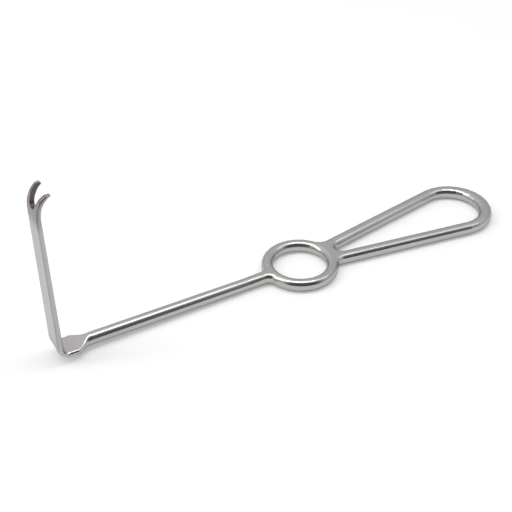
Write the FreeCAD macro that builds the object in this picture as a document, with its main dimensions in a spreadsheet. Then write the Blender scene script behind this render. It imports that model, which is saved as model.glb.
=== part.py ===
import FreeCAD, Part
import math
import os
import Sketcher

# A hand-held retractor, forged and bent from one bar of stainless steel.
#
# X runs along the handle, from the blade at the -X end to the grip loop at the +X end.
# Z is up, towards the side that the blade points to, and Y is across the tool.
# The origin is on the finger ring's axis, at the middle of the handle's height.

# Driving sizes in millimetres, with angles in degrees
SIZES = {
    # Finger ring and the hub that it forms with the roots of the shaft and the arms
    "handle_height": 5.55,
    "ring_bore_radius": 12.35,
    "ring_band": 5.2,
    "handle_edge": 2.4,
    "shaft_fillet": 2.9,
    "arm_fillet": 5.3,
    "stub_reach": 3.5,
    # Shaft
    "shaft_root_diameter": 5.55,
    "shaft_tip_diameter": 5.5,
    "shaft_neck_length": 7.0,
    "shaft_tip_rise": 1.05,
    "flash_flat": 0.1,
    # Grip loop
    "loop_reach": 107.85,
    "loop_end_radius": 16.25,
    "loop_end_width": 6.45,
    "arm_root_offset": 6.1,
    "arm_width": 5.6,
    "crotch_radius": 3.0,
    # Spade where the round shaft is forged flat
    "spade_neck_offset": 15.25,
    "spade_shoulder_offset": 7.4,
    "spade_rise": 0.85,
    # Blade
    "blade_offset": 117.45,
    "blade_width": 11.6,
    "blade_thickness": 2.4,
    "blade_lean": 0.7,
    "blade_height": 67.55,
    "blade_top_width": 10.5,
    "blade_top_thickness": 2.05,
    "bend_inner_radius": 1.6,
    "bend_outer_radius": 6.0,
    # Hook and fork
    "hook_entry_radius": 25.15,
    "hook_entry_turn": 8.55,
    "hook_radius": 10.1,
    "hook_turn": 52.15,
    "hook_width": 12.2,
    "hook_thickness": 1.7,
    "tip_trim": 0.35,
    "notch_depth": 6.9,
    "notch_radius": 2.7,
    "prong_width": 1.95,
}

ROUND_QUARTERS = 4
BEND_SPANS = 4
HOOK_STATIONS = 3
LOOP_END_SPANS = 14


def make_sheet(doc):
    """Spreadsheet with one alias for each driving size."""
    sheet = doc.addObject("Spreadsheet::Sheet", "sizes")
    for row, (alias, value) in enumerate(SIZES.items(), start=1):
        sheet.set("A%d" % row, alias)
        sheet.set("B%d" % row, str(value))
        sheet.setAlias("B%d" % row, alias)
    return sheet


def make_derived(doc, formulas):
    """Variable set with the lengths and angles that follow from the driving sizes."""
    derived = doc.addObject("App::VarSet", "derived")
    for name, formula in formulas.items():
        derived.addProperty("App::PropertyFloat", name)
        derived.setExpression(name, formula)
        doc.recompute()
    return derived


def origin_plane(body, role):
    """One of the body's own origin planes."""
    for feature in body.Origin.OriginFeatures:
        if feature.Role == role:
            return feature
    raise ValueError(role)


def new_sketch(body, name, role):
    """Empty sketch on one of the body's origin planes."""
    sketch = body.newObject("Sketcher::SketchObject", name)
    sketch.AttachmentSupport = [(origin_plane(body, role), "")]
    sketch.MapMode = "FlatFace"
    return sketch


def bind(sketch, constraint, expression):
    """Adds a sketch constraint whose value follows an expression."""
    index = sketch.addConstraint(constraint)
    sketch.setExpression("Constraints[%d]" % index, expression)
    return index


def shift_sketch(sketch, shifts, turn_axis=None, turn=None):
    """Offsets a sketch from its plane: shifts maps x, y and z to expressions."""
    if turn_axis is not None:
        start = FreeCAD.Rotation(turn_axis, sketch.evalExpression(turn))
        sketch.AttachmentOffset = FreeCAD.Placement(FreeCAD.Vector(), start)
        sketch.setExpression("AttachmentOffset.Rotation.Angle", "(%s) * 1 deg" % turn)
    for letter, expression in shifts.items():
        sketch.setExpression("AttachmentOffset.Base." + letter, expression)


def rounded_section(sketch, width, height, radius):
    """Rounded rectangle about the sketch's origin, as four lines and four arcs."""
    half_w = sketch.evalExpression(width) / 2
    half_h = sketch.evalExpression(height) / 2
    r = sketch.evalExpression(radius)
    flat_w = half_w - r
    flat_h = half_h - r
    up = FreeCAD.Vector(0, 0, 1)
    ends = [
        ((-flat_w, -half_h), (flat_w, -half_h)),
        ((half_w, -flat_h), (half_w, flat_h)),
        ((flat_w, half_h), (-flat_w, half_h)),
        ((-half_w, flat_h), (-half_w, -flat_h)),
    ]
    centres = [(flat_w, -flat_h), (flat_w, flat_h), (-flat_w, flat_h), (-flat_w, -flat_h)]
    sides = []
    corners = []
    for turn, (first, last) in enumerate(ends):
        line = Part.LineSegment(FreeCAD.Vector(*first, 0), FreeCAD.Vector(*last, 0))
        sides.append(sketch.addGeometry(line, False))
        circle = Part.Circle(FreeCAD.Vector(*centres[turn], 0), up, r)
        arc = Part.ArcOfCircle(circle, (turn - 1) * math.pi / 2, turn * math.pi / 2)
        corners.append(sketch.addGeometry(arc, False))
    for turn in range(ROUND_QUARTERS):
        following = (turn + 1) % ROUND_QUARTERS
        sketch.addConstraint(Sketcher.Constraint("Tangent", sides[turn], 2, corners[turn], 1))
        sketch.addConstraint(Sketcher.Constraint("Tangent", corners[turn], 2, sides[following], 1))
        if turn > 0:
            sketch.addConstraint(Sketcher.Constraint("Equal", corners[0], corners[turn]))
    for turn in (0, 2):
        sketch.addConstraint(Sketcher.Constraint("Horizontal", sides[turn]))
        sketch.addConstraint(Sketcher.Constraint("Vertical", sides[turn + 1]))
    sketch.addConstraint(Sketcher.Constraint("Symmetric", corners[0], 3, corners[2], 3, -1, 1))
    bind(sketch, Sketcher.Constraint("Radius", corners[0], r), radius)
    bind(sketch, Sketcher.Constraint("DistanceX", sides[3], 1, sides[1], 1, 2 * half_w), width)
    bind(sketch, Sketcher.Constraint("DistanceY", sides[0], 1, sides[2], 1, 2 * half_h), height)


def station(body, name, width, height, radius, shifts, turn_axis=None, turn=None):
    """Rounded section across the tool, shifted along it and turned about one axis."""
    sketch = new_sketch(body, name, "YZ_Plane")
    shift_sketch(sketch, shifts, turn_axis, turn)
    rounded_section(sketch, width, height, radius)
    return sketch


def bar_station(body, name, width, thickness, shifts, turn_axis=None, turn=None):
    """Section of a bar whose edges are full-round, from a round rod to a flat strip."""
    edge = "((%s) - sizes.flash_flat) / 2" % thickness
    return station(body, name, width, thickness, edge, shifts, turn_axis, turn)


def loft(body, name, stations, ruled):
    """Solid that passes through the stations in order."""
    feature = body.newObject("PartDesign::AdditiveLoft", name)
    feature.Profile = stations[0]
    feature.Sections = stations[1:]
    feature.Ruled = ruled
    body.Document.recompute()
    return feature


def hub_plan(body):
    """Plain pads and pockets of the hub, before any edge is rounded."""
    disc_sketch = new_sketch(body, "disc_sketch", "XY_Plane")
    centred_circle(disc_sketch, "derived.ring_outer_radius")
    pad(body, "disc", disc_sketch)

    stub_sketch = new_sketch(body, "shaft_stub_sketch", "XY_Plane")
    symmetric_outline(stub_sketch, [
        ("-derived.stub_end", "sizes.shaft_root_diameter / 2"),
        ("-sizes.ring_bore_radius", "sizes.shaft_root_diameter / 2"),
    ])
    pad(body, "shaft_stub", stub_sketch)

    arms_sketch = new_sketch(body, "arm_roots_sketch", "XY_Plane")
    symmetric_outline(arms_sketch, [
        ("sizes.ring_bore_radius", "derived.arm_outer_start_y"),
        ("derived.arm_outer_x", "derived.arm_outer_y"),
        ("derived.arm_inner_x", "derived.arm_inner_y"),
    ])
    pad(body, "arm_roots", arms_sketch)

    bore_sketch = new_sketch(body, "bore_sketch", "XY_Plane")
    centred_circle(bore_sketch, "sizes.ring_bore_radius")
    pocket(body, "bore", bore_sketch)

    crotch_sketch = new_sketch(body, "crotch_sketch", "XY_Plane")
    rounded_wedge(crotch_sketch, "derived.crotch_x", "sizes.crotch_radius", "derived.arm_angle",
                  "derived.crotch_mouth_x", "derived.crotch_mouth_y")
    pocket(body, "crotch", crotch_sketch)


def centred_circle(sketch, radius):
    """Circle about the sketch's origin."""
    r = sketch.evalExpression(radius)
    circle = Part.Circle(FreeCAD.Vector(0, 0, 0), FreeCAD.Vector(0, 0, 1), r)
    index = sketch.addGeometry(circle, False)
    sketch.addConstraint(Sketcher.Constraint("Coincident", index, 3, -1, 1))
    bind(sketch, Sketcher.Constraint("Radius", index, r), radius)


def pad(body, name, sketch):
    """Pad of the handle's height, half above and half below the sketch."""
    feature = body.newObject("PartDesign::Pad", name)
    feature.Profile = sketch
    feature.Midplane = True
    feature.setExpression("Length", "sizes.handle_height")
    body.Document.recompute()
    return feature


def pocket(body, name, sketch):
    """Pocket right through, both ways from the sketch."""
    feature = body.newObject("PartDesign::Pocket", name)
    feature.Profile = sketch
    feature.Type = "ThroughAll"
    feature.Midplane = True
    body.Document.recompute()
    return feature


def symmetric_outline(sketch, half):
    """Closed outline of straight lines, mirrored about the sketch's X axis from its upper half."""
    upper = []
    for x_text, y_text in half:
        upper.append((sketch.evalExpression(x_text), sketch.evalExpression(y_text)))
    lower = [(x, -y) for x, y in reversed(upper)]
    corners = [FreeCAD.Vector(x, y, 0) for x, y in upper + lower]
    count = len(corners)
    lines = []
    for index in range(count):
        line = Part.LineSegment(corners[index], corners[(index + 1) % count])
        lines.append(sketch.addGeometry(line, False))
    for index in range(count):
        following = lines[(index + 1) % count]
        sketch.addConstraint(Sketcher.Constraint("Coincident", lines[index], 2, following, 1))
    for index, (x_text, y_text) in enumerate(half):
        mirrored = lines[count - 1 - index]
        place_point(sketch, lines[index], 1, x_text, y_text)
        sketch.addConstraint(Sketcher.Constraint("Symmetric", lines[index], 1, mirrored, 1, -1))


def place_point(sketch, geometry, end, x_text, y_text):
    """Binds a point of the sketch to a place, measured from the sketch's origin."""
    for kind, text in (("DistanceX", x_text), ("DistanceY", y_text)):
        value = sketch.evalExpression(text)
        if value < 0:
            bind(sketch, Sketcher.Constraint(kind, geometry, end, -1, 1, -value), "-(%s)" % text)
        else:
            bind(sketch, Sketcher.Constraint(kind, -1, 1, geometry, end, value), text)


def rounded_wedge(sketch, centre_x, radius, half_angle, mouth_x, mouth_y):
    """Wedge that opens along the sketch's X axis from a round bottom."""
    centre = sketch.evalExpression(centre_x)
    r = sketch.evalExpression(radius)
    tilt = math.radians(sketch.evalExpression(half_angle))
    far_x = sketch.evalExpression(mouth_x)
    far_y = sketch.evalExpression(mouth_y)
    touch_x = centre - r * math.sin(tilt)
    touch_y = r * math.cos(tilt)
    upper = Part.LineSegment(FreeCAD.Vector(far_x, far_y, 0), FreeCAD.Vector(touch_x, touch_y, 0))
    circle = Part.Circle(FreeCAD.Vector(centre, 0, 0), FreeCAD.Vector(0, 0, 1), r)
    bottom = Part.ArcOfCircle(circle, math.pi / 2 + tilt, 3 * math.pi / 2 - tilt)
    lower = Part.LineSegment(FreeCAD.Vector(touch_x, -touch_y, 0), FreeCAD.Vector(far_x, -far_y, 0))
    mouth = Part.LineSegment(FreeCAD.Vector(far_x, -far_y, 0), FreeCAD.Vector(far_x, far_y, 0))
    a = sketch.addGeometry(upper, False)
    b = sketch.addGeometry(bottom, False)
    c = sketch.addGeometry(lower, False)
    d = sketch.addGeometry(mouth, False)
    sketch.addConstraint(Sketcher.Constraint("Tangent", a, 2, b, 1))
    sketch.addConstraint(Sketcher.Constraint("Tangent", b, 2, c, 1))
    sketch.addConstraint(Sketcher.Constraint("Coincident", c, 2, d, 1))
    sketch.addConstraint(Sketcher.Constraint("Coincident", d, 2, a, 1))
    sketch.addConstraint(Sketcher.Constraint("Symmetric", a, 1, c, 2, -1))
    sketch.addConstraint(Sketcher.Constraint("PointOnObject", b, 3, -1))
    bind(sketch, Sketcher.Constraint("Radius", b, r), radius)
    bind(sketch, Sketcher.Constraint("DistanceX", -1, 1, b, 3, centre), centre_x)
    bind(sketch, Sketcher.Constraint("DistanceX", -1, 1, a, 1, far_x), mouth_x)


def edge_names(feature, wanted):
    """Names of the edges of a feature whose every sampled point passes the test."""
    names = []
    for number, edge in enumerate(feature.Shape.Edges, start=1):
        if wanted(edge.discretize(5)):
            names.append("Edge%d" % number)
    return names


def round_edges(body, name, base, names, expression):
    """Fillet of the named edges."""
    feature = body.newObject("PartDesign::Fillet", name)
    feature.Base = (base, names)
    feature.setExpression("Radius", expression)
    body.Document.recompute()
    return feature


def make_hub(body, derived):
    """Finger ring with the roots of the shaft and of both arms, all its edges rounded."""
    tolerance = 1e-4
    hub_plan(body)
    outer = derived.ring_outer_radius

    def junction(points):
        run = points[-1] - points[0]
        upright = math.hypot(run.x, run.y) < tolerance < abs(run.z)
        return upright and all(abs(math.hypot(p.x, p.y) - outer) < tolerance for p in points)

    at_shaft = edge_names(body.Tip, lambda points: junction(points) and points[0].x < 0)
    round_edges(body, "shaft_junctions", body.Tip, at_shaft, "sizes.shaft_fillet")
    at_arms = edge_names(body.Tip, lambda points: junction(points) and points[0].x > 0)
    round_edges(body, "arm_junctions", body.Tip, at_arms, "sizes.arm_fillet")

    top = body.evalExpression("sizes.handle_height") / 2
    along = FreeCAD.Vector(body.evalExpression("cos(derived.arm_angle)"),
                           body.evalExpression("sin(derived.arm_angle)"), 0)
    arm_end = derived.arm_start_x * along.x + body.evalExpression("sizes.arm_root_offset") * along.y

    def on_end_face(points):
        shaft_end = all(abs(p.x + derived.stub_end) < tolerance for p in points)
        arm_ends = all(abs(p.x * along.x + abs(p.y) * along.y - arm_end) < tolerance for p in points)
        return shaft_end or arm_ends

    def rim(points):
        return all(abs(abs(p.z) - top) < tolerance for p in points) and not on_end_face(points)

    rims = edge_names(body.Tip, rim)
    round_edges(body, "hub_rims", body.Tip, rims, "sizes.handle_edge")


def make_shaft(body):
    """Round tapered shaft, from the hub to the neck of the spade."""
    root = station(body, "shaft_root", "sizes.shaft_root_diameter", "sizes.handle_height",
                   "sizes.handle_edge", {"z": "-derived.stub_end"})
    full = bar_station(body, "shaft_full", "sizes.shaft_root_diameter", "sizes.shaft_root_diameter",
                       {"z": "-derived.stub_end - sizes.shaft_neck_length"})
    tip = bar_station(body, "shaft_tip", "sizes.shaft_tip_diameter", "sizes.shaft_tip_diameter",
                      {"z": "-sizes.blade_offset + sizes.spade_neck_offset", "y": "sizes.shaft_tip_rise"})
    loft(body, "shaft", [root, full, tip], True)
    return tip


def make_spade(body, tip):
    """Forged spade: the round bar flattens and widens into the plate of the blade."""
    width_gain = "(sizes.blade_width - sizes.shaft_tip_diameter)"
    height_loss = "(sizes.shaft_tip_diameter - sizes.blade_thickness)"
    span = "(sizes.spade_neck_offset - sizes.spade_shoulder_offset)"
    # Share of the way to the shoulder, of the widening and of the flattening, which comes first
    shares = [
        (0.20, 0.00, 0.10),
        (0.36, 0.08, 0.38),
        (0.52, 0.29, 0.68),
        (0.68, 0.56, 0.88),
        (0.84, 0.83, 0.98),
        (1.00, 1.00, 1.00),
    ]
    stations = [tip]
    for number, (way, wide, flat) in enumerate(shares, start=1):
        stations.append(bar_station(
            body, "spade_%d" % number,
            "sizes.shaft_tip_diameter + %s * %s" % (wide, width_gain),
            "sizes.shaft_tip_diameter - %s * %s" % (flat, height_loss),
            {"z": "-sizes.blade_offset + sizes.spade_neck_offset - %s * %s" % (way, span),
             "y": "sizes.shaft_tip_rise + %s * (sizes.spade_rise - sizes.shaft_tip_rise)" % flat}))
    loft(body, "spade", stations, False)
    return stations[-1]


def make_plate(body, shoulder):
    """Flat plate between the spade's shoulder and the bend."""
    end = bar_station(body, "plate_end", "sizes.blade_width", "sizes.blade_thickness",
                      {"z": "derived.bend_x + derived.bend_lead", "y": "sizes.spade_rise"})
    loft(body, "plate", [shoulder, end], True)
    return end


def make_bend(body, plate_end):
    """Bend that is tight inside and fuller outside, so the bar is thinnest half-way round."""
    across = FreeCAD.Vector(1, 0, 0)
    stations = [plate_end]
    for number in range(BEND_SPANS + 1):
        turned = "(derived.bend_turn * %s)" % (number / BEND_SPANS)
        aside = "(%s - derived.bend_turn / 2)" % turned
        reach = ("(sqrt(sizes.bend_outer_radius ^ 2 - (derived.bend_shift * sin%s) ^ 2)"
                 " - derived.bend_shift * cos%s)" % (aside, aside))
        middle = "((%s + sizes.bend_inner_radius) / 2)" % reach
        stations.append(bar_station(
            body, "bend_%d" % number, "sizes.blade_width", "%s - sizes.bend_inner_radius" % reach,
            {"z": "derived.bend_x - %s * sin%s" % (middle, turned),
             "y": "derived.bend_z - %s * cos%s" % (middle, turned)},
            across, turned))
    stations.append(bar_station(
        body, "bend_end", "sizes.blade_width", "sizes.blade_thickness",
        {"z": "derived.blade_base_x", "y": "derived.blade_base_z"}, across, "derived.bend_turn"))
    loft(body, "bend", stations, False)


def make_blade(body):
    """Upright blade, slightly tapered, from the bend to the hook."""
    across = FreeCAD.Vector(1, 0, 0)
    base = bar_station(body, "blade_base", "sizes.blade_width", "sizes.blade_thickness",
                       {"z": "derived.blade_base_x", "y": "derived.blade_base_z"},
                       across, "-derived.blade_heading")
    top = bar_station(body, "blade_top", "sizes.blade_top_width", "sizes.blade_top_thickness",
                      {"z": "derived.blade_top_x", "y": "derived.blade_top_z"},
                      across, "-derived.blade_heading")
    loft(body, "blade", [base, top], True)
    return top


def make_hook(body, top):
    """Curved and widening end of the blade, still in one piece. It tightens towards its tip."""
    across = FreeCAD.Vector(1, 0, 0)
    places = [("entry", "sizes.hook_entry_radius", "(sizes.hook_entry_turn / 2)"),
              ("entry", "sizes.hook_entry_radius", "sizes.hook_entry_turn")]
    for number in range(1, HOOK_STATIONS + 1):
        places.append(("main", "sizes.hook_radius",
                       "(sizes.hook_entry_turn + sizes.hook_turn * %.4f)" % (number / HOOK_STATIONS)))
    stations = [top]
    for number, (arc, radius, turned) in enumerate(places, start=1):
        share = number / len(places)
        heading = "(derived.blade_heading - %s)" % turned
        stations.append(bar_station(
            body, "hook_%d" % number,
            "sizes.blade_top_width + (sizes.hook_width - sizes.blade_top_width) * %.4f" % share,
            "sizes.blade_top_thickness + (sizes.hook_thickness - sizes.blade_top_thickness) * %.4f" % share,
            {"z": "derived.hook_%s_x - %s * sin%s" % (arc, radius, heading),
             "y": "derived.hook_%s_z + %s * cos%s" % (arc, radius, heading)},
            across, "-" + heading))
    loft(body, "hook", stations, False)


def make_fork(body):
    """Level end of the hook, and the notch that parts it into two prongs."""
    level_sketch = new_sketch(body, "level_sketch", "YZ_Plane")
    level_outline(level_sketch, "sizes.hook_width", "derived.tip_z", "derived.clear_height")
    pocket(body, "level_end", level_sketch)

    notch_sketch = new_sketch(body, "notch_sketch", "YZ_Plane")
    upright_wedge(notch_sketch, "derived.notch_centre_z", "sizes.notch_radius", "derived.notch_mouth_y",
                  "derived.clear_height")
    pocket(body, "notch", notch_sketch)


def level_outline(sketch, half_width, low, high):
    """Rectangle astride the sketch's upright axis, between two heights."""
    w, z0, z1 = [sketch.evalExpression(text) for text in (half_width, low, high)]
    corners = [FreeCAD.Vector(-w, z0, 0), FreeCAD.Vector(w, z0, 0),
               FreeCAD.Vector(w, z1, 0), FreeCAD.Vector(-w, z1, 0)]
    lines = []
    for index, corner in enumerate(corners):
        following = corners[(index + 1) % len(corners)]
        lines.append(sketch.addGeometry(Part.LineSegment(corner, following), False))
    for index in range(len(lines)):
        following = lines[(index + 1) % len(lines)]
        sketch.addConstraint(Sketcher.Constraint("Coincident", lines[index], 2, following, 1))
    sketch.addConstraint(Sketcher.Constraint("Symmetric", lines[0], 1, lines[0], 2, -2))
    sketch.addConstraint(Sketcher.Constraint("Symmetric", lines[2], 1, lines[2], 2, -2))
    place_point(sketch, lines[1], 1, half_width, low)
    place_point(sketch, lines[2], 1, half_width, high)


def upright_wedge(sketch, centre_z, radius, half_mouth, mouth_z):
    """Wedge that opens upwards from a round bottom, astride the sketch's upright axis."""
    z, r, w, top = [sketch.evalExpression(text) for text in (centre_z, radius, half_mouth, mouth_z)]
    mouth_left = FreeCAD.Vector(-w, top, 0)
    mouth_right = FreeCAD.Vector(w, top, 0)
    circle = Part.Circle(FreeCAD.Vector(0, z, 0), FreeCAD.Vector(0, 0, 1), r)
    left = sketch.addGeometry(Part.LineSegment(mouth_left, FreeCAD.Vector(-r, z, 0)), False)
    bottom = sketch.addGeometry(Part.ArcOfCircle(circle, math.pi, 2 * math.pi), False)
    right = sketch.addGeometry(Part.LineSegment(FreeCAD.Vector(r, z, 0), mouth_right), False)
    mouth = sketch.addGeometry(Part.LineSegment(mouth_right, mouth_left), False)
    sketch.addConstraint(Sketcher.Constraint("Tangent", left, 2, bottom, 1))
    sketch.addConstraint(Sketcher.Constraint("Tangent", bottom, 2, right, 1))
    sketch.addConstraint(Sketcher.Constraint("Coincident", right, 2, mouth, 1))
    sketch.addConstraint(Sketcher.Constraint("Coincident", mouth, 2, left, 1))
    sketch.addConstraint(Sketcher.Constraint("Symmetric", left, 1, right, 2, -2))
    sketch.addConstraint(Sketcher.Constraint("PointOnObject", bottom, 3, -2))
    bind(sketch, Sketcher.Constraint("Radius", bottom, r), radius)
    bind(sketch, Sketcher.Constraint("DistanceY", -1, 1, bottom, 3, z), centre_z)
    place_point(sketch, right, 2, half_mouth, mouth_z)


def arm_station(body, side):
    """Root of an arm, on the far side where side is 1 and on the near side where it is -1."""
    turn = "derived.arm_angle" if side > 0 else "-180 - derived.arm_angle"
    return station(
        body, "far_arm_root" if side > 0 else "near_arm_root",
        "sizes.arm_width", "sizes.handle_height", "sizes.handle_edge",
        {"z": "derived.arm_start_x", "x": "%d * sizes.arm_root_offset" % side},
        FreeCAD.Vector(0, 1, 0), turn)


def loop_end_station(body, number):
    """Section of the round end, which is broadest half-way round."""
    share = 1 - 2 * number / LOOP_END_SPANS
    angle = "(%s * (90 + derived.arm_angle))" % share
    bulge = math.cos(share * math.pi / 2) ** 2
    return station(
        body, "loop_end_%d" % number,
        "sizes.arm_width + %.4f * (sizes.loop_end_width - sizes.arm_width)" % bulge,
        "sizes.handle_height", "sizes.handle_edge",
        {"z": "derived.loop_centre_x + sizes.loop_end_radius * cos%s" % angle,
         "x": "sizes.loop_end_radius * sin%s" % angle},
        FreeCAD.Vector(0, 1, 0), "%s - 90" % angle)


def make_loop(body):
    """Grip loop in one run: out along the far arm, round the end and back along the near arm."""
    stations = [arm_station(body, 1)]
    for number in range(LOOP_END_SPANS + 1):
        stations.append(loop_end_station(body, number))
    stations.append(arm_station(body, -1))
    loft(body, "grip_loop", stations, True)


DERIVED = {
    "ring_outer_radius": "sizes.ring_bore_radius + sizes.ring_band",
    "stub_end": "derived.ring_outer_radius + sizes.stub_reach",
    # Loop end: its centre, and the arm's centre line that touches its circle
    "loop_centre_x": "sizes.loop_reach - sizes.loop_end_width / 2 - sizes.loop_end_radius",
    "arm_start_x": "derived.stub_end + sizes.stub_reach",
    "arm_root_x": "derived.loop_centre_x - derived.arm_start_x",
    "arm_angle": "asin(sizes.loop_end_radius / hypot(derived.arm_root_x; sizes.arm_root_offset))"
                 " - atan(sizes.arm_root_offset / derived.arm_root_x)",
    # Corners of the arm's root in plan
    "arm_outer_x": "derived.arm_start_x - sizes.arm_width / 2 * sin(derived.arm_angle)",
    "arm_outer_y": "sizes.arm_root_offset + sizes.arm_width / 2 * cos(derived.arm_angle)",
    "arm_inner_x": "derived.arm_start_x + sizes.arm_width / 2 * sin(derived.arm_angle)",
    "arm_inner_y": "sizes.arm_root_offset - sizes.arm_width / 2 * cos(derived.arm_angle)",
    "arm_outer_start_y": "derived.arm_outer_y - (derived.arm_outer_x - sizes.ring_bore_radius)"
                         " * tan(derived.arm_angle)",
    # Crotch between the arms, round and tangent to both
    "crotch_x": "derived.loop_centre_x - (sizes.loop_end_radius - sizes.crotch_radius"
                " - sizes.arm_width / 2) / sin(derived.arm_angle)",
    "crotch_mouth_x": "derived.arm_inner_x + sizes.arm_width",
    "crotch_mouth_y": "derived.arm_inner_y + sizes.arm_width * tan(derived.arm_angle)",
    # Bend: the centre of its inside, how far from that the centre of its outside lies, and how
    # far the bar is already swelling before the bend and after it
    "bend_turn": "90 - sizes.blade_lean",
    "bend_middle_radius": "sizes.bend_inner_radius + sizes.blade_thickness / 2",
    "bend_x": "derived.bend_middle_radius - sizes.blade_offset",
    "bend_z": "derived.bend_middle_radius + sizes.spade_rise",
    "bend_shift": "(sizes.bend_outer_radius - sizes.bend_inner_radius - sizes.blade_thickness)"
                  " / cos(derived.bend_turn / 2)",
    "bend_lead": "derived.bend_shift * sin(derived.bend_turn / 2)",
    # Upright blade: where the bend ends and where the hook begins
    "blade_heading": "90 + sizes.blade_lean",
    "blade_base_x": "derived.bend_x - derived.bend_middle_radius * cos(sizes.blade_lean)"
                    " - derived.bend_lead * sin(sizes.blade_lean)",
    "blade_base_z": "derived.bend_z - derived.bend_middle_radius * sin(sizes.blade_lean)"
                    " + derived.bend_lead * cos(sizes.blade_lean)",
    "blade_top_x": "derived.blade_base_x - (sizes.blade_height - derived.blade_base_z)"
                   " * tan(sizes.blade_lean)",
    "blade_top_z": "sizes.blade_height",
    "hook_entry_x": "derived.blade_top_x + sizes.hook_entry_radius * cos(sizes.blade_lean)",
    "hook_entry_z": "derived.blade_top_z + sizes.hook_entry_radius * sin(sizes.blade_lean)",
    "hook_main_x": "derived.hook_entry_x - (sizes.hook_entry_radius - sizes.hook_radius)"
                   " * sin(derived.blade_heading - sizes.hook_entry_turn)",
    "hook_main_z": "derived.hook_entry_z + (sizes.hook_entry_radius - sizes.hook_radius)"
                   " * cos(derived.blade_heading - sizes.hook_entry_turn)",
    "hook_end_z": "derived.hook_main_z + sizes.hook_radius"
                  " * cos(derived.blade_heading - sizes.hook_entry_turn - sizes.hook_turn)",
    # Fork: level tips, and the notch between the prongs, whose straight sides run on past the tips
    "tip_z": "derived.hook_end_z - sizes.tip_trim",
    "notch_centre_z": "derived.tip_z - sizes.notch_depth + sizes.notch_radius",
    "clear_height": "derived.tip_z + sizes.hook_radius",
    "notch_spread": "(sizes.hook_width / 2 - sizes.prong_width - sizes.notch_radius)"
                    " / (sizes.notch_depth - sizes.notch_radius)",
    "notch_mouth_y": "sizes.notch_radius + derived.notch_spread"
                     " * (derived.clear_height - derived.notch_centre_z)",
}


def check(doc, body):
    """Stops with a message where a feature failed or the solid isn't sound."""
    for item in doc.Objects:
        if "Invalid" in item.State or "Error" in item.State:
            raise RuntimeError("%s failed: %s" % (item.Name, item.State))
    shape = body.Shape
    if shape.isNull() or not shape.isValid() or len(shape.Solids) != 1:
        raise RuntimeError("%s isn't one sound solid" % body.Label)


def main():
    doc = FreeCAD.newDocument("hand_retractor")
    make_sheet(doc)
    doc.recompute()
    derived = make_derived(doc, DERIVED)
    body = doc.addObject("PartDesign::Body", "retractor")
    body.Label = "retractor"
    make_hub(body, derived)
    tip = make_shaft(body)
    shoulder = make_spade(body, tip)
    plate_end = make_plate(body, shoulder)
    make_bend(body, plate_end)
    top = make_blade(body)
    make_hook(body, top)
    make_fork(body)
    make_loop(body)
    doc.recompute()
    check(doc, body)
    os.makedirs("parts", exist_ok=True)
    body.Shape.exportStep("parts/%s.step" % body.Label)
    print("%s: volume %.0f mm3, box %s" % (body.Label, body.Shape.Volume, body.Shape.BoundBox))


main()
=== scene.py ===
import math

import bpy
from mathutils import Matrix, Vector


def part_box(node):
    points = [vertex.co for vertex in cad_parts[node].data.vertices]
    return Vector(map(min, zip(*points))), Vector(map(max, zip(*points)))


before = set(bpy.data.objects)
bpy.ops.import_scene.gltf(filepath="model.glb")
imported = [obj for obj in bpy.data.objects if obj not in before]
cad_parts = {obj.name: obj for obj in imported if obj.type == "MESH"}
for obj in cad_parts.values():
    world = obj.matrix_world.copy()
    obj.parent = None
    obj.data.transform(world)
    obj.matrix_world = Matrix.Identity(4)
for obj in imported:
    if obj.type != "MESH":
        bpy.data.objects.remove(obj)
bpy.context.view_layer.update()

# One-piece hand-held retractor of satin-polished stainless steel, on a pale floor in soft studio light.
# Lengths are in metres and angles in degrees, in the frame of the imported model. A pair of numbers is the
# start and the end of a smooth change.

# Camera, as it stood for the picture
CAMERA_AZIMUTH = -30.48
CAMERA_ELEVATION = 36.66
CAMERA_ROLL = 0.14
CAMERA_DISTANCE = 0.461
CAMERA_AIM = Vector((-0.0165, 0.0115, 0.0038))
FOCAL_LENGTH_PIXELS = 1011.9
PICTURE_PIXELS = 512
SENSOR_WIDTH = 36.0
CLIP_START = 0.01

# Floor, white over its whole width by a glow that grows away from the object
FLOOR_SIZE = 6.0
FLOOR_COLOUR = (0.88, 0.88, 0.88, 1.0)
FLOOR_GLOW_NEAR = 0.17
FLOOR_GLOW_FAR = 0.42
FLOOR_GLOW_REACH = (0.4, 1.4)
WHITE = (1.0, 1.0, 1.0, 1.0)

# Studio: bright walls, brighter high up and to the left, a dark side at the front left, a long softbox
# overhead with a weak one at its right end, and an even fill that lights matt things alone
WALL_LOW = 0.756
WALL_HIGH = 0.948
WALL_RISE = (0.3, 0.75)
WALL_RIGHT_SHARE = 0.87
WALL_RIGHT_TURN = (0.2, 0.45)
DARK_DIRECTION = (-0.3, -0.83, 0.47)
DARK_EDGE = (0.5, 0.82)
DARK_SIDE = 0.12
FILL = 0.57
BACKDROP_STRENGTH = 1.05
SOFTBOX = {"place": (-0.98, 0.415, 1.0), "turn": -20, "length": 2.9, "width": 0.39, "radiance": 2.88}
WEAK_SOFTBOX = {"place": (0.7, -0.2, 1.0), "turn": -25, "length": 0.6, "width": 0.3, "radiance": 1.2}

# Steel, in two tints that change from patch to patch
STEEL_COLOUR = (0.48, 0.473, 0.459, 1.0)
STEEL_COLOUR_WARM = (0.467, 0.45, 0.455, 1.0)
PATCH_SIZE = 0.025
PATCH_DETAIL = 2.0
PATCH_EDGE = (0.4, 0.6)
# Tint of grazing reflections: the steel's own on the blade, lower on the handle as painted shade of the
# shaded floor beside it
HANDLE_EDGE_TINT_AND_SHADE = (0.67, 0.67, 0.67, 1.0)
BLADE_EDGE_TINT = (0.8, 0.8, 0.8, 1.0)
BLADE_START = (0.003, 0.009)

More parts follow.
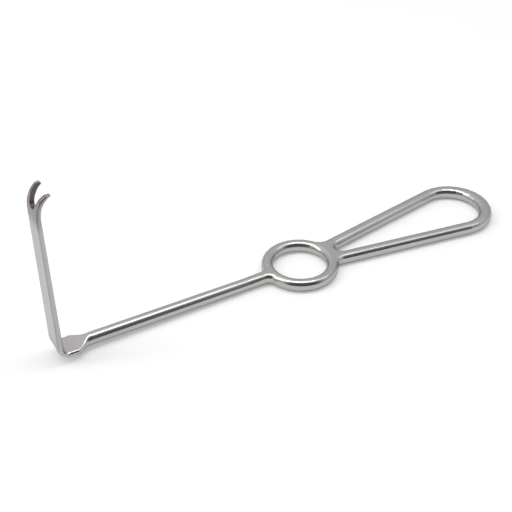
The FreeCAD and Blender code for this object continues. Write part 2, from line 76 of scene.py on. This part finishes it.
# Brushing and the slow waves of hand polishing
BRUSH_LENGTH = 0.03
BRUSH_WIDTH = 0.0007
BRUSH_DETAIL = 3.0
BRUSH_DEPTH = 0.000004
BRUSH_SPREAD = (0.3, 0.7)
ROUGHNESS_LOW = 0.15
ROUGHNESS_HIGH = 0.24
POLISH_WAVE = 0.006
POLISH_DETAIL = 1.0
POLISH_DEPTH = 0.00002

# Painted shade on the hook: a darker colour above a height, strongest on faces turned outward
HOOK_SHADE_COLOUR = (0.275, 0.26, 0.256, 1.0)
HOOK_SHADE_HEIGHT = (0.062, 0.069)
HOOK_SHADE_OUTWARD = (-0.5, -0.2)
HOOK_SHADE_SIDE_SHARE = 0.45

# Brown stain on the walls of the notch, with painted shade of the recess over it, darkest at its root,
# which faces up
NOTCH_STAIN_AND_SHADE_COLOUR = (0.283, 0.242, 0.233, 1.0)
NOTCH_ROOT_STAIN_AND_SHADE_COLOUR = (0.1, 0.083, 0.079, 1.0)
NOTCH_STAIN_AND_SHADE_HEIGHT = (0.066, 0.069)
NOTCH_STAIN_AND_SHADE_OUTWARD = (0.15, 0.35)
NOTCH_ROOT_SHADE_UPWARD = (0.2, 0.7)
NOTCH_STAIN_AND_SHADE_HALF_WIDTH = 0.0047
NOTCH_WALL_ROUGHNESS = 0.3

# Painted shade on the blade: darker on its flanks and darker still on its outer corners, where darker
# reflections are painted into the steel's colour
FLANK_PAINTED_SHADE = 0.88
FLANK_SIDEWAYS = (0.8, 0.95)
CORNER_PAINTED_SHADE = 0.76
CORNER_SLANT = (0.45, 0.9)

# Inputs and output of the mix node for each kind of value
MIX_SOCKETS = {"FLOAT": ("A_Float", "B_Float", "Result_Float"),
               "RGBA": ("A_Color", "B_Color", "Result_Color")}


def make_camera():
    """Camera at the picture's viewing angle."""
    data = bpy.data.cameras.new("camera")
    data.sensor_width = SENSOR_WIDTH
    data.lens = FOCAL_LENGTH_PIXELS * SENSOR_WIDTH / PICTURE_PIXELS
    data.clip_start = CLIP_START
    camera = bpy.data.objects.new("camera", data)
    turn = Matrix.Rotation(math.radians(CAMERA_AZIMUTH), 4, "Z")
    tilt = Matrix.Rotation(math.radians(90 - CAMERA_ELEVATION), 4, "X")
    roll = Matrix.Rotation(math.radians(CAMERA_ROLL), 4, "Z")
    orientation = turn @ tilt @ roll
    back = orientation.to_3x3() @ Vector((0, 0, 1))
    camera.matrix_world = Matrix.Translation(CAMERA_AIM + back * CAMERA_DISTANCE) @ orientation
    bpy.context.scene.collection.objects.link(camera)
    bpy.context.scene.camera = camera


def connect(tree, socket, setting):
    """Feeds an input from another socket or sets its plain value."""
    if isinstance(setting, bpy.types.NodeSocket):
        tree.links.new(setting, socket)
    else:
        socket.default_value = setting


def calculate(tree, operation, first, second=0.0):
    """Result of a maths node on sockets or plain values."""
    node = tree.nodes.new("ShaderNodeMath")
    node.operation = operation
    connect(tree, node.inputs[0], first)
    connect(tree, node.inputs[1], second)
    return node.outputs["Value"]


def ramp(tree, value, span, low, high):
    """Smooth change from low to high while the value goes through the span."""
    node = tree.nodes.new("ShaderNodeMapRange")
    node.interpolation_type = "SMOOTHSTEP"
    settings = {"Value": value, "From Min": span[0], "From Max": span[1], "To Min": low, "To Max": high}
    for name, setting in settings.items():
        connect(tree, node.inputs[name], setting)
    return node.outputs["Result"]


def mix(tree, kind, factor, first, second):
    """First number or colour where the factor is zero, second where it is one."""
    node = tree.nodes.new("ShaderNodeMix")
    node.data_type = kind
    tree.links.new(factor, node.inputs["Factor"])
    sockets = {socket.identifier: socket for socket in [*node.inputs, *node.outputs]}
    first_input, second_input, result = (sockets[name] for name in MIX_SOCKETS[kind])
    connect(tree, first_input, first)
    connect(tree, second_input, second)
    return result


def axes(tree, vector):
    """X, Y and Z outputs of a vector."""
    node = tree.nodes.new("ShaderNodeSeparateXYZ")
    tree.links.new(vector, node.inputs["Vector"])
    return node.outputs


def coordinates(tree, kind):
    """Texture coordinates of the given kind."""
    return tree.nodes.new("ShaderNodeTexCoord").outputs[kind]


def new_material(name):
    """Empty node material, with its tree and its output node."""
    material = bpy.data.materials.new(name)
    material.use_nodes = True
    tree = material.node_tree
    tree.nodes.clear()
    output = tree.nodes.new("ShaderNodeOutputMaterial")
    return material, tree, output


def floor_material():
    """Matt white that stays white to the camera and in the steel, and keeps the object's shadow."""
    material, tree, output = new_material("floor")
    diffuse = tree.nodes.new("ShaderNodeBsdfDiffuse")
    diffuse.inputs["Color"].default_value = FLOOR_COLOUR
    glow = tree.nodes.new("ShaderNodeEmission")
    glow.inputs["Color"].default_value = WHITE
    path = tree.nodes.new("ShaderNodeLightPath")
    mirrored = calculate(tree, "ADD", path.outputs["Is Glossy Ray"], path.outputs["Is Transmission Ray"])
    looked_at = calculate(tree, "ADD", path.outputs["Is Camera Ray"], mirrored)
    distance = tree.nodes.new("ShaderNodeVectorMath")
    distance.operation = "LENGTH"
    tree.links.new(coordinates(tree, "Object"), distance.inputs[0])
    growth = ramp(tree, distance.outputs["Value"], FLOOR_GLOW_REACH, FLOOR_GLOW_NEAR, FLOOR_GLOW_FAR)
    tree.links.new(calculate(tree, "MULTIPLY", looked_at, growth), glow.inputs["Strength"])
    both = tree.nodes.new("ShaderNodeAddShader")
    tree.links.new(diffuse.outputs["BSDF"], both.inputs[0])
    tree.links.new(glow.outputs["Emission"], both.inputs[1])
    tree.links.new(both.outputs["Shader"], output.inputs["Surface"])
    return material


def make_floor(height):
    """Square floor at the given height."""
    mesh = bpy.data.meshes.new("floor")
    half = FLOOR_SIZE / 2
    corners = [(-half, -half, height), (half, -half, height), (half, half, height), (-half, half, height)]
    mesh.from_pydata(corners, [], [(0, 1, 2, 3)])
    mesh.materials.append(floor_material())
    floor = bpy.data.objects.new("floor", mesh)
    bpy.context.scene.collection.objects.link(floor)


def make_world():
    """Studio walls in reflections, even fill light on surfaces and plain white behind the object."""
    world = bpy.data.worlds.new("studio")
    world.use_nodes = True
    tree = world.node_tree
    background = tree.nodes["Background"]
    background.inputs["Color"].default_value = WHITE
    direction = coordinates(tree, "Generated")
    toward_dark = tree.nodes.new("ShaderNodeVectorMath")
    toward_dark.operation = "DOT_PRODUCT"
    toward_dark.inputs[1].default_value = DARK_DIRECTION
    tree.links.new(direction, toward_dark.inputs[0])
    parts = axes(tree, direction)
    height = ramp(tree, parts["Z"], WALL_RISE, WALL_LOW, WALL_HIGH)
    side = ramp(tree, parts["X"], WALL_RIGHT_TURN, 1.0, WALL_RIGHT_SHARE)
    wall = calculate(tree, "MULTIPLY", height, side)
    walls = ramp(tree, toward_dark.outputs["Value"], DARK_EDGE, wall, DARK_SIDE)
    path = tree.nodes.new("ShaderNodeLightPath")
    lit = mix(tree, "FLOAT", path.outputs["Is Diffuse Ray"], walls, FILL)
    seen = mix(tree, "FLOAT", path.outputs["Is Camera Ray"], lit, BACKDROP_STRENGTH)
    tree.links.new(seen, background.inputs["Strength"])
    bpy.context.scene.world = world


def make_softbox(name, place, turn, length, width, radiance):
    """Area lamp that faces down and has a stated brightness. Its length is turned from X about Z."""
    data = bpy.data.lights.new(name, "AREA")
    data.shape = "RECTANGLE"
    data.size = length
    data.size_y = width
    data.energy = radiance * math.pi * length * width
    lamp = bpy.data.objects.new(name, data)
    lamp.location = place
    lamp.rotation_euler.z = math.radians(turn)
    bpy.context.scene.collection.objects.link(lamp)


def noise(tree, place, size, detail):
    """Noise whose features have the given size, in metres, along X, Y and Z."""
    scaling = tree.nodes.new("ShaderNodeMapping")
    scaling.inputs["Scale"].default_value = [1 / length for length in size]
    tree.links.new(place, scaling.inputs["Vector"])
    texture = tree.nodes.new("ShaderNodeTexNoise")
    texture.inputs["Scale"].default_value = 1.0
    texture.inputs["Detail"].default_value = detail
    tree.links.new(scaling.outputs["Vector"], texture.inputs["Vector"])
    return texture.outputs["Fac"]


def bump(tree, height, depth):
    """Relief node of the given depth, in metres."""
    node = tree.nodes.new("ShaderNodeBump")
    node.inputs["Strength"].default_value = 1.0
    node.inputs["Distance"].default_value = depth
    tree.links.new(height, node.inputs["Height"])
    return node


def notch_stain_and_shade_mask(tree, parts, facing):
    """Mask of the brown stain and painted shade: one on the walls of the notch, zero elsewhere."""
    outward = calculate(tree, "ABSOLUTE", facing["X"])
    wall = ramp(tree, outward, NOTCH_STAIN_AND_SHADE_OUTWARD, 1.0, 0.0)
    inside = calculate(tree, "LESS_THAN", calculate(tree, "ABSOLUTE", parts["Y"]), NOTCH_STAIN_AND_SHADE_HALF_WIDTH)
    high = ramp(tree, parts["Z"], NOTCH_STAIN_AND_SHADE_HEIGHT, 0.0, 1.0)
    return calculate(tree, "MULTIPLY", calculate(tree, "MULTIPLY", wall, inside), high)


def steel_tint(tree, place, parts, facing, notch_stain_and_shade):
    """Steel in patches of two tints, with painted shade on the hook, and the brown stain in its notch with
    painted shade that is darkest at the root.
    """
    patches = noise(tree, place, (PATCH_SIZE, PATCH_SIZE, PATCH_SIZE), PATCH_DETAIL)
    patch = ramp(tree, patches, PATCH_EDGE, 0.0, 1.0)
    steel = mix(tree, "RGBA", patch, STEEL_COLOUR, STEEL_COLOUR_WARM)
    # Painted shade on the hook, strongest where it faces outward
    outer = ramp(tree, facing["X"], HOOK_SHADE_OUTWARD, 1.0, HOOK_SHADE_SIDE_SHARE)
    hook_shade = calculate(tree, "MULTIPLY", ramp(tree, parts["Z"], HOOK_SHADE_HEIGHT, 0.0, 1.0), outer)
    hook = mix(tree, "RGBA", hook_shade, steel, HOOK_SHADE_COLOUR)
    # Brown stain with painted shade on the notch walls, the painted shade darkest at the root, which faces
    # up
    root_shade = ramp(tree, facing["Z"], NOTCH_ROOT_SHADE_UPWARD, 0.0, 1.0)
    notch_stain_and_shade_colour = mix(tree, "RGBA", root_shade, NOTCH_STAIN_AND_SHADE_COLOUR, NOTCH_ROOT_STAIN_AND_SHADE_COLOUR)
    return mix(tree, "RGBA", notch_stain_and_shade, hook, notch_stain_and_shade_colour)


def painted_blade_shade(tree, facing, on_blade):
    """Painted shade on the blade, as a brightness factor: darker on its flanks, darkest on its outer
    corners.
    """
    sideways = calculate(tree, "ABSOLUTE", facing["Y"])
    slant = calculate(tree, "MULTIPLY", calculate(tree, "MULTIPLY", facing["X"], sideways), -2.0)
    corner = calculate(tree, "MULTIPLY", ramp(tree, slant, CORNER_SLANT, 0.0, 1.0), on_blade)
    flank = calculate(tree, "MULTIPLY", ramp(tree, sideways, FLANK_SIDEWAYS, 0.0, 1.0), on_blade)
    return mix(tree, "FLOAT", corner, mix(tree, "FLOAT", flank, 1.0, FLANK_PAINTED_SHADE), CORNER_PAINTED_SHADE)


def steel_material():
    """Satin-polished stainless steel, brushed along the handle and up the blade."""
    material, tree, output = new_material("satin_steel")
    place = coordinates(tree, "Object")
    parts = axes(tree, place)
    facing = axes(tree, coordinates(tree, "Normal"))
    on_blade = ramp(tree, parts["Z"], BLADE_START, 0.0, 1.0)
    notch_stain_and_shade = notch_stain_and_shade_mask(tree, parts, facing)
    shader = tree.nodes.new("ShaderNodeBsdfPrincipled")
    shader.inputs["Metallic"].default_value = 1.0

    # Steel colour scaled by the painted shade on the blade's flanks and outer corners
    painted_shade_scaling = tree.nodes.new("ShaderNodeVectorMath")
    painted_shade_scaling.operation = "SCALE"
    tree.links.new(steel_tint(tree, place, parts, facing, notch_stain_and_shade), painted_shade_scaling.inputs["Vector"])
    tree.links.new(painted_blade_shade(tree, facing, on_blade), painted_shade_scaling.inputs["Scale"])
    tree.links.new(painted_shade_scaling.outputs["Vector"], shader.inputs["Base Color"])
    # The handle's lower grazing tint is painted shade of the shaded floor beside it
    edge = mix(tree, "RGBA", on_blade, HANDLE_EDGE_TINT_AND_SHADE, BLADE_EDGE_TINT)
    tree.links.new(edge, shader.inputs["Specular Tint"])

    along = noise(tree, place, (BRUSH_LENGTH, BRUSH_WIDTH, BRUSH_WIDTH), BRUSH_DETAIL)
    upward = noise(tree, place, (BRUSH_WIDTH, BRUSH_WIDTH, BRUSH_LENGTH), BRUSH_DETAIL)
    brushed = mix(tree, "FLOAT", on_blade, along, upward)
    satin = ramp(tree, brushed, BRUSH_SPREAD, ROUGHNESS_LOW, ROUGHNESS_HIGH)
    roughened = calculate(tree, "MULTIPLY", notch_stain_and_shade, NOTCH_WALL_ROUGHNESS)
    tree.links.new(calculate(tree, "ADD", satin, roughened), shader.inputs["Roughness"])
    polish = noise(tree, place, (POLISH_WAVE, POLISH_WAVE, POLISH_WAVE), POLISH_DETAIL)
    waves = bump(tree, polish, POLISH_DEPTH)
    scratches = bump(tree, brushed, BRUSH_DEPTH)
    tree.links.new(waves.outputs["Normal"], scratches.inputs["Normal"])
    tree.links.new(scratches.outputs["Normal"], shader.inputs["Normal"])
    tree.links.new(shader.outputs["BSDF"], output.inputs["Surface"])
    return material


make_camera()
make_floor(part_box("retractor")[0].z)
make_world()
make_softbox("overhead", **SOFTBOX)
make_softbox("weak_overhead", **WEAK_SOFTBOX)
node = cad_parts["retractor"]
node.material_slots[0].material = steel_material()

bpy.context.scene.view_settings.view_transform = "Standard"
